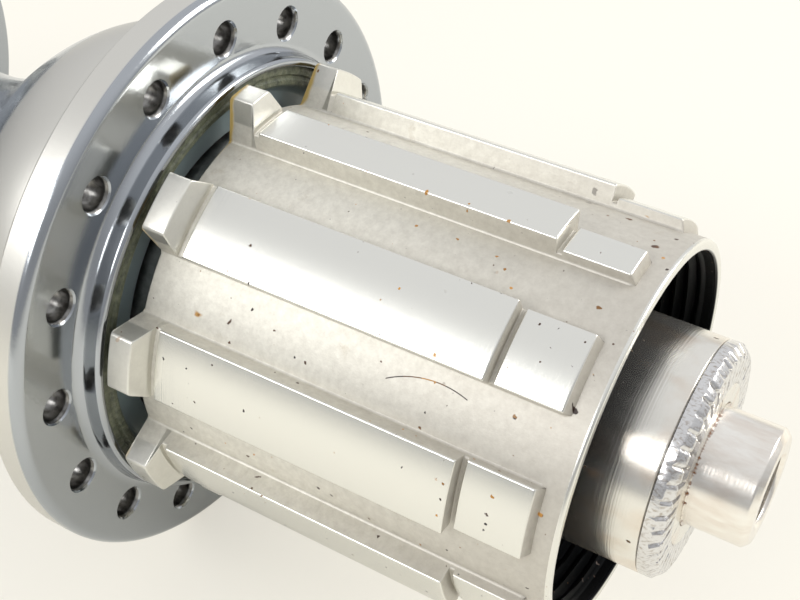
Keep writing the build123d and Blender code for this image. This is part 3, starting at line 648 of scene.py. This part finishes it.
# Years of use lie on the satin skin: a grey film that thickens outboard, brown smudges, flakes of dried
# oil, black and brown grit that crowds near the open end, a hair, and yellow grease round the tabs.
outboard_film = add_node(tree, "ShaderNodeMapRange", inputs={
    "Value": station, "From Min": -59.0 * MM, "From Max": -36.0 * MM, "To Min": 0.5, "To Max": 0.0})
film = add_node(tree, "ShaderNodeMath", {"operation": "MULTIPLY"}, {0: outboard_film, 1: in_groove})
smudge_noise = add_node(tree, "ShaderNodeTexNoise", inputs={
    "Vector": unrolled, "Scale": per_metre(2.941), "Detail": 8.0, "Roughness": 0.7})
smudge = add_node(tree, "ShaderNodeMapRange", inputs={
    "Value": smudge_noise, "From Min": 0.62, "From Max": 0.74, "To Min": 0.0, "To Max": 0.45})
groove_smudge = add_node(tree, "ShaderNodeMath", {"operation": "MULTIPLY"}, {0: smudge, 1: in_groove})
up_walls = add_node(tree, "ShaderNodeCombineXYZ", inputs={"X": radius})
over_walls = add_node(tree, "ShaderNodeVectorMath", {"operation": "ADD"}, {0: unrolled, 1: up_walls})
slanted = add_node(tree, "ShaderNodeMapping", inputs={
    "Vector": over_walls, "Rotation": (0, 0, 0.5), "Scale": (1.0, 0.4, 1.0)})
loose_flakes = specks(tree, slanted, 4.167, 0.3, 0.12)[0]
flakes = add_node(tree, "ShaderNodeMath", {"operation": "MULTIPLY"}, {0: loose_flakes, 1: off_tops})
fine_grit, grit_chance = specks(tree, over_walls, 1.111, 0.3, 0.13)
loose_grit = specks(tree, over_walls, 3.333, 0.4, 0.085)[0]
coarse_grit = add_node(tree, "ShaderNodeMath", {"operation": "MULTIPLY"}, {0: loose_grit, 1: off_tops})
crowded_grit = specks(tree, over_walls, 1.923, 0.6, 0.13)[0]
near_open_end = add_node(tree, "ShaderNodeMapRange", inputs={
    "Value": station, "From Min": -55.0 * MM, "From Max": -46.0 * MM, "To Min": 1.0, "To Max": 0.0})
open_end_grit = add_node(tree, "ShaderNodeMath", {"operation": "MULTIPLY"}, {
    0: crowded_grit, 1: near_open_end})
hair_centre = (48.73, -48.45)
hair_radius = 7.386
hair_width = 0.055
hair_ring = ring_mark(tree, unrolled, hair_centre, hair_radius, hair_width)
hair_start = add_node(tree, "ShaderNodeMath", {"operation": "GREATER_THAN"}, {0: station, 1: -50.7 * MM})
hair_end = add_node(tree, "ShaderNodeMath", {"operation": "LESS_THAN"}, {0: station, 1: -44.4 * MM})
hair_side = add_node(tree, "ShaderNodeMath", {"operation": "LESS_THAN"}, {
    0: along.outputs["X"], 1: 43.5 * MM})
hair = hair_ring
for limit in (hair_start, hair_end, hair_side):
    hair = add_node(tree, "ShaderNodeMath", {"operation": "MULTIPLY"}, {0: hair, 1: limit})
grit = fine_grit
for more in (coarse_grit, open_end_grit, hair):
    grit = add_node(tree, "ShaderNodeMath", {"operation": "MAXIMUM"}, {0: grit, 1: more})
grit_tone = add_node(tree, "ShaderNodeValToRGB", inputs={"Fac": grit_chance}, stops=[
    (0.0, "#1F1719"), (0.6, "#57381F"), (1.0, "#C08A3C")])
near_tabs = add_node(tree, "ShaderNodeMapRange", inputs={
    "Value": station, "From Min": -(driver_start + 2.0) * MM, "From Max": -driver_start * MM,
    "To Min": 0.0, "To Max": 0.5})
grease_noise = add_node(tree, "ShaderNodeTexNoise", inputs={
    "Vector": unrolled, "Scale": per_metre(7.692), "Detail": 4.0})
patchy = add_node(tree, "ShaderNodeMath", {"operation": "MULTIPLY"}, {0: near_tabs, 1: grease_noise})
grease = add_node(tree, "ShaderNodeMapRange", inputs={"Value": patchy, "From Min": 0.25, "From Max": 0.29})
tone = groove_tone.outputs["Color"]
for cover, layer in (
        (on_top, linear("#DFDED7")), (in_bore, linear("#08090A")), (film, linear("#A39C93")),
        (groove_smudge, linear("#A79A82")), (flakes, linear("#B98B45")), (grit, grit_tone.outputs["Color"]),
        (grease, linear("#B59C5C"))):
    tone = add_node(tree, "ShaderNodeMix", {"data_type": "RGBA"}, {
        "Factor": cover, "A": tone, "B": layer}).outputs["Result"]
dirt = grit
for more in (flakes, grease):
    dirt = add_node(tree, "ShaderNodeMath", {"operation": "MAXIMUM"}, {0: dirt, 1: more})
bare_metal = add_node(tree, "ShaderNodeMath", {"operation": "SUBTRACT"}, {0: film_metal, 1: dirt})
shader = add_node(tree, "ShaderNodeBsdfPrincipled", inputs={
    "Base Color": tone, "Metallic": bare_metal, "Roughness": gloss, "Normal": relief_bump})
add_node(tree, "ShaderNodeOutputMaterial", inputs={"Surface": shader})
add_piece("freehub_body_splined", driver_mesh, satin, "freehub", "freehub_body")


# Dark ring in the recess between the shell and the freehub body: moulded rubber over a steel washer,
# pressed into the shell. Its outer ledge is rough with dried grease, and its dished middle is smooth.
seal_bore = 14.6
seal_face, seal_back = cad_reach("shell_seal")[1:]
ledge_start = 16.9
ledge_foot = 17.5
groove_inner = 18.0
groove_outer = 18.45
groove_depth = 0.15
seal_thickness = 0.5
seal_corners = [
    (seal_bore, seal_back, 0.1), (seal_bore, seal_back - seal_thickness, 0.15),
    (ledge_start, seal_back - seal_thickness, 0.4), (ledge_foot, seal_face, 0.3),
    (groove_inner, seal_face, 0.1),
    (groove_inner + 0.1, seal_face + groove_depth, 0.1), (groove_outer - 0.1, seal_face + groove_depth, 0.1),
    (groove_outer, seal_face, 0.1), (recess_radius, seal_face, 0.15),
    (recess_radius, seal_back - seal_thickness),
    (ledge_foot, seal_back - seal_thickness, 0.3), (ledge_start, seal_back, 0.3)]
seal_mesh = turned_mesh("shell_seal", eased(seal_corners))

# Old moulded rubber: blue-grey and half gloss where grease has wetted it, and crusted olive and dull on
# the ledge.
dark_rubber, tree = new_material("greasy_dark_rubber")
unrolled, radius = axle_lengths(tree)
on_ledge = add_node(tree, "ShaderNodeMapRange", inputs={
    "Value": radius, "From Min": (ledge_start + 0.2) * MM, "From Max": (ledge_foot + 0.1) * MM})
crust = add_node(tree, "ShaderNodeTexNoise", inputs={
    "Vector": unrolled, "Scale": per_metre(0.6667), "Detail": 5.0, "Roughness": 0.7})
crust_height = add_node(tree, "ShaderNodeMath", {"operation": "MULTIPLY"}, {0: crust, 1: on_ledge})
crust_bump = add_node(tree, "ShaderNodeBump", inputs={
    "Height": crust_height, "Strength": 0.9, "Distance": 0.2 * MM})
ledge_tone = add_node(tree, "ShaderNodeValToRGB", inputs={"Fac": crust}, stops=[
    (0.32, "#3A4034"), (0.8, "#8B8F76")])
seal_tone = add_node(tree, "ShaderNodeMix", {"data_type": "RGBA"}, {
    "Factor": on_ledge, "A": linear("#8A999B"), "B": ledge_tone})
shader = add_node(tree, "ShaderNodeBsdfPrincipled", inputs={
    "Base Color": seal_tone.outputs["Result"], "Roughness": 0.38, "Specular IOR Level": 0.5,
    "Normal": crust_bump})
add_node(tree, "ShaderNodeOutputMaterial", inputs={"Surface": shader})
add_piece("shell_seal_ring", seal_mesh, dark_rubber, "hub", "shell_seal")


# Drive-side locknut: a long round barrel turned from aluminium and left satin, with a narrow nose
# that carries the steel ring. It screws onto the axle against the lock washer.
barrel_radius, nose_face, barrel_back = cad_reach("drive_locknut")
barrel_face = cad_reach("drive_serrated_ring")[2]
nose_radius = 6.6
nut_bore = 5.03
locknut_corners = [
    (nut_bore, barrel_back, 0.2), (barrel_radius, barrel_back, 0.25), (barrel_radius, barrel_face, 0.12),
    (nose_radius, barrel_face), (nose_radius, nose_face, 0.1), (nut_bore, nose_face, 0.2)]
locknut_mesh = turned_mesh("drive_locknut", eased(locknut_corners))

# Turned satin aluminium: bright and warm, streaked round by the lathe, with faint tan clouds that are painted
# reflections and a few brown flecks. Its turning lines are drawn coarser than they are, so that they show.
turned_satin, tree = new_material("turned_satin_aluminium")
unrolled = axle_lengths(tree)[0]
stretched = add_node(tree, "ShaderNodeMapping", inputs={
    "Vector": unrolled, "Scale": (per_metre(25), per_metre(0.143), per_metre(0.25))})
turning = add_node(tree, "ShaderNodeTexNoise", inputs={"Vector": stretched, "Scale": 1.0, "Detail": 3.0})
turning_bump = add_node(tree, "ShaderNodeBump", inputs={
    "Height": turning, "Strength": 0.3, "Distance": 0.02 * MM})
clouds = add_node(tree, "ShaderNodeTexNoise", inputs={
    "Vector": unrolled, "Scale": per_metre(3.846), "Detail": 5.0, "Roughness": 0.6})
cloud_rough = add_node(tree, "ShaderNodeMapRange", inputs={
    "Value": clouds, "From Min": 0.35, "From Max": 0.65, "To Min": 0.22, "To Max": 0.26})
flecks = specks(tree, unrolled, 2.381, 0.35, 0.15)[0]
# The faint tan clouds are painted reflections, tinted into the base colour.
tan_reflection_noise = add_node(tree, "ShaderNodeTexNoise", inputs={
    "Vector": unrolled, "Scale": per_metre(5.882), "Detail": 3.0})
warm = add_node(tree, "ShaderNodeMapRange", inputs={
    "Value": tan_reflection_noise, "From Min": 0.48, "From Max": 0.66, "To Min": 0.0, "To Max": 0.4})
tan_reflection_tinted = add_node(tree, "ShaderNodeMix", {"data_type": "RGBA"}, {
    "Factor": warm, "A": linear("#E3E0D8"), "B": linear("#C9AE90")})
flecked = add_node(tree, "ShaderNodeMix", {"data_type": "RGBA"}, {
    "Factor": flecks, "A": tan_reflection_tinted.outputs["Result"], "B": linear("#5A4020")})
clean_share = add_node(tree, "ShaderNodeMath", {"operation": "SUBTRACT"}, {0: 0.92, 1: flecks})
shader = add_node(tree, "ShaderNodeBsdfPrincipled", inputs={
    "Base Color": flecked.outputs["Result"], "Metallic": clean_share, "Roughness": cloud_rough,
    "Normal": turning_bump})
add_node(tree, "ShaderNodeOutputMaterial", inputs={"Surface": shader})
add_piece("drive_locknut_barrel", locknut_mesh, turned_satin, "axle_assembly", "drive_locknut")


# Serrated rings: hard steel rings that bite the dropouts. Radial cuts cross the bevel and the face,
# and years of clamping have battered the edge bright.
clamped_face = -nose_face
serration_count = 44
serration_depth = 0.3
serration_half_width = 0.26
dent_count = 90


def serrated_mesh(name, side, outer_radius, start, bevel, seed):
    """Ring with a battered edge and radial cuts across its face. Side is -1 on the drive side."""
    chance = random.Random(seed)
    bevel_start = clamped_face - bevel
    outline = eased([
        (nose_radius, start), (outer_radius, start, 0.14), (outer_radius, bevel_start, 0.16),
        (outer_radius - bevel, clamped_face, 0.16)])
    inner = outer_radius - bevel - 0.25
    face_width = inner - nose_radius - 0.1
    outline += [Vector((inner - face_width * step / 9, clamped_face)) for step in range(10)]
    outline.append(Vector((nose_radius, clamped_face - 0.1)))
    side_outline = [(radius, side * station) for radius, station in outline]
    mesh = turned_mesh(name, side_outline, segments=16 * serration_count)
    dents = [(chance.uniform(0, 2 * math.pi), chance.uniform(0.25, 0.8), chance.uniform(0.03, 0.1))
             for _ in range(dent_count)]
    worn = [chance.uniform(0.35, 1.0) for _ in range(serration_count)]
    for vertex in mesh.vertices:
        x, y, z = vertex.co
        radius = math.hypot(x, z)
        station = abs(y)
        turn = math.atan2(z, x) % (2 * math.pi)
        tooth = turn / (2 * math.pi) * serration_count
        off_centre = abs((tooth + 0.5) % 1 - 0.5) * 2 * math.pi * radius / serration_count
        near_face = min(1, max(0, (station - bevel_start + 0.22) / 0.4))
        near_face *= min(1, max(0, (radius - nose_radius - 0.2) / 0.5))
        depth_here = serration_depth * worn[int(tooth + 0.5) % serration_count] * near_face
        cut = depth_here * max(0, 1 - off_centre / serration_half_width)
        edge = max(0, 1 - abs(station - bevel_start) / 0.45) if radius > outer_radius - bevel else 0
        dent = 0
        for place, width, depth in dents:
            away = abs((turn - place + math.pi) % (2 * math.pi) - math.pi) * radius / width
            if away < 1:
                dent += depth * (1 - away * away) ** 2
        shrink = 1 - min(dent, 0.12) * edge / radius
        vertex.co = (x * shrink, y - side * cut, z * shrink)
    return mesh


# Battered hard steel: bright white metal that is dented all over, with warm grey stains between.
worn_steel, tree = new_material("battered_bright_steel")
unrolled = axle_lengths(tree)[0]
blows = add_node(tree, "ShaderNodeTexVoronoi", inputs={"Vector": unrolled, "Scale": per_metre(0.6667)})
smear = add_node(tree, "ShaderNodeTexNoise", inputs={
    "Vector": unrolled, "Scale": per_metre(0.3846), "Detail": 4.0})
relief = add_node(tree, "ShaderNodeMath", {"operation": "ADD"}, {0: blows.outputs["Distance"], 1: smear})
steel_bump = add_node(tree, "ShaderNodeBump", inputs={
    "Height": relief, "Strength": 0.16, "Distance": 0.06 * MM})
stain = add_node(tree, "ShaderNodeValToRGB", inputs={"Fac": smear}, stops=[
    (0.3, "#B0A9A1"), (0.5, "#D6D5D4")])
shader = add_node(tree, "ShaderNodeBsdfPrincipled", inputs={
    "Base Color": stain, "Metallic": 1.0, "Roughness": 0.2, "Normal": steel_bump})
add_node(tree, "ShaderNodeOutputMaterial", inputs={"Surface": shader})
drive_ring_mesh = serrated_mesh("drive_serrated_ring", -1, barrel_radius, -barrel_face, 0.7, 11)
add_piece("drive_ring_battered", drive_ring_mesh, worn_steel, "axle_assembly",
          "drive_serrated_ring")
left_ring_radius, left_ring_start, left_ring_face = cad_reach("left_serrated_ring")
left_ring_mesh = serrated_mesh("left_serrated_ring", 1, left_ring_radius, left_ring_start, 0.5, 12)
add_piece("left_ring_battered", left_ring_mesh, worn_steel, "axle_assembly",
          "left_serrated_ring")


# Axle: a hollow steel spindle, turned and plated. Its plain ends stand out past the locknuts, and
# the bright plating is worn warm at the ends, with a little rust where it meets the ring.
axle_radius = cad_reach("axle")[0]
axle_end = cad_reach("axle")[2]
stub_radius = 4.8
axle_bore = 3.0
half_axle = [
    (axle_radius, clamped_face), (stub_radius, clamped_face, 0.05), (stub_radius, axle_end - 0.5, 0.25),
    (stub_radius - 0.5, axle_end, 0.2), (axle_bore + 0.25, axle_end, 0.12), (axle_bore, axle_end - 0.25, 0.2)]
axle_corners = [(corner[0], -corner[1], *corner[2:]) for corner in reversed(half_axle)] + half_axle
axle_mesh = turned_mesh("axle", eased(axle_corners))

# Plated steel: a bright, slightly warm metal with fine turning lines, drawn coarser than they are. Where
# the plating has gone beside the ring, it is matt brown rust.
plated, tree = new_material("worn_plated_steel")
unrolled = axle_lengths(tree)[0]
stretched = add_node(tree, "ShaderNodeMapping", inputs={
    "Vector": unrolled, "Scale": (per_metre(20), per_metre(0.2), per_metre(0.3333))})
turning = add_node(tree, "ShaderNodeTexNoise", inputs={"Vector": stretched, "Scale": 1.0, "Detail": 3.0})
turning_bump = add_node(tree, "ShaderNodeBump", inputs={
    "Height": turning, "Strength": 0.25, "Distance": 0.02 * MM})
clouds = add_node(tree, "ShaderNodeTexNoise", inputs={
    "Vector": unrolled, "Scale": per_metre(3.333), "Detail": 5.0, "Roughness": 0.6})
plating = add_node(tree, "ShaderNodeValToRGB", inputs={"Fac": clouds}, stops=[
    (0.35, "#E0D8CE"), (0.65, "#ECE9E2")])
station = add_node(tree, "ShaderNodeSeparateXYZ", inputs={"Vector": unrolled}).outputs["Y"]
from_middle = add_node(tree, "ShaderNodeMath", {"operation": "ABSOLUTE"}, {0: station})
beside_ring = add_node(tree, "ShaderNodeMapRange", inputs={
    "Value": from_middle, "From Min": clamped_face * MM, "From Max": (clamped_face + 0.8) * MM,
    "To Min": 0.66, "To Max": 0.0})
rust_noise = add_node(tree, "ShaderNodeTexNoise", inputs={
    "Vector": unrolled, "Scale": per_metre(1.111), "Detail": 4.0})
outside_ring = add_node(tree, "ShaderNodeMath", {"operation": "GREATER_THAN"}, {
    0: from_middle, 1: (clamped_face - 0.05) * MM})
rust_amount = rust_noise
for limit in (outside_ring, beside_ring):
    rust_amount = add_node(tree, "ShaderNodeMath", {"operation": "MULTIPLY"}, {0: rust_amount, 1: limit})
rust = add_node(tree, "ShaderNodeMapRange", inputs={"Value": rust_amount, "From Min": 0.3, "From Max": 0.4})
axle_tone = add_node(tree, "ShaderNodeMix", {"data_type": "RGBA"}, {
    "Factor": rust, "A": plating, "B": linear("#7A4A22")})
axle_metal = add_node(tree, "ShaderNodeMath", {"operation": "SUBTRACT"}, {0: 1.0, 1: rust})
shader = add_node(tree, "ShaderNodeBsdfPrincipled", inputs={
    "Base Color": axle_tone.outputs["Result"], "Metallic": axle_metal, "Roughness": 0.24,
    "Normal": turning_bump})
add_node(tree, "ShaderNodeOutputMaterial", inputs={"Surface": shader})
add_piece("axle_spindle", axle_mesh, plated, "axle_assembly", "axle")


# Left locknut: a chamfered hexagon of plated steel with a round nose for its ring. It locks the left
# cone through a keyed washer.
left_nut_start = cad_reach("left_locknut")[1]
left_nut_corner = 9.75
left_nut_chamfer = 0.7
left_nut_chamfer_radius = 8.3
left_nut_half_flats = 8.5
left_nut_corners = [
    (nut_bore, left_nut_start, 0.2), (left_nut_chamfer_radius, left_nut_start, 0.1),
    (left_nut_corner, left_nut_start + left_nut_chamfer, 0.1),
    (left_nut_corner, left_ring_start - left_nut_chamfer, 0.1),
    (left_nut_chamfer_radius, left_ring_start, 0.1), (nose_radius, left_ring_start),
    (nose_radius, left_ring_face, 0.1), (nut_bore, left_ring_face, 0.2)]
left_nut_mesh = turned_mesh("left_locknut", eased(left_nut_corners), segments=360)
for vertex in left_nut_mesh.vertices:
    x, y, z = vertex.co
    radius = math.hypot(x, z)
    side_angle = (math.atan2(z, x) % (math.pi / 3)) - math.pi / 6
    flat_radius = left_nut_half_flats / math.cos(side_angle)
    if left_nut_start + 0.1 <= y <= left_ring_start - 0.1 and radius > flat_radius:
        vertex.co = (x * flat_radius / radius, y, z * flat_radius / radius)
add_piece("left_locknut_hexagon", left_nut_mesh, plated, "axle_assembly", "left_locknut")


# Pieces that keep their CAD shape: cones, cups, washers, caps, balls, pawls and the parts inside the
# freehub body. Each gets the finish of the real one: ground steel mirrors, washers are dull and grey, the
# core is matt from the machine, and rubber and plastic are dark and plain.
def plain_finish(name, hex_light, hex_dark, metallic, roughness, patch, bump):
    """Material whose tone and gloss drift over patches of this size in millimetres."""
    material, tree = new_material(name)
    unrolled = axle_lengths(tree)[0]
    drift = add_node(tree, "ShaderNodeTexNoise", inputs={
        "Vector": unrolled, "Scale": per_metre(patch), "Detail": 5.0, "Roughness": 0.6})
    tone = add_node(tree, "ShaderNodeValToRGB", inputs={"Fac": drift}, stops=[
        (0.35, hex_dark), (0.65, hex_light)])
    gloss = add_node(tree, "ShaderNodeMapRange", inputs={
        "Value": drift, "From Min": 0.3, "From Max": 0.7,
        "To Min": roughness * 0.8, "To Max": roughness * 1.2})
    relief = add_node(tree, "ShaderNodeBump", inputs={
        "Height": drift, "Strength": bump, "Distance": 0.05 * MM})
    shader = add_node(tree, "ShaderNodeBsdfPrincipled", inputs={
        "Base Color": tone, "Metallic": metallic, "Roughness": gloss, "Normal": relief})
    add_node(tree, "ShaderNodeOutputMaterial", inputs={"Surface": shader})
    return material


bearing_steel = plain_finish("ground_bearing_steel", "#C9C8C6", "#A9A8A6", 1.0, 0.14, 1.43, 0.1)
washer_steel = plain_finish("dull_washer_steel", "#BDBAB3", "#918C84", 1.0, 0.34, 2.0, 0.3)
core_alloy = plain_finish("machined_core_alloy", "#C4C4C2", "#A3A3A1", 1.0, 0.36, 1.11, 0.3)
cap_rubber = plain_finish("black_cap_rubber", "#26272A", "#141517", 0.0, 0.5, 1.25, 0.5)
sleeve_plastic = plain_finish("grey_sleeve_plastic", "#77797C", "#5F6164", 0.0, 0.45, 2.5, 0.2)
finishes = {
    bearing_steel: [
        "drive_bearing_cup", "left_bearing_cup", "drive_cone", "left_cone", "drive_main_balls",
        "left_main_balls", "freehub_inboard_balls", "freehub_outboard_balls", "freehub_ratchet_ring",
        "pawl_1", "pawl_2"],
    washer_steel: [
        "drive_lock_washer", "left_lock_washer", "drive_dust_cap", "left_dust_cap", "freehub_shim",
        "pawl_ring_spring", "freehub_bolt", "freehub_dust_shield"],
    core_alloy: ["freehub_core"],
    cap_rubber: ["drive_cone_seal", "left_cone_seal"],
    sleeve_plastic: ["grease_sleeve"]}
for material, names in finishes.items():
    for name in names:
        for material_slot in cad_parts[name].material_slots:
            material_slot.material = material
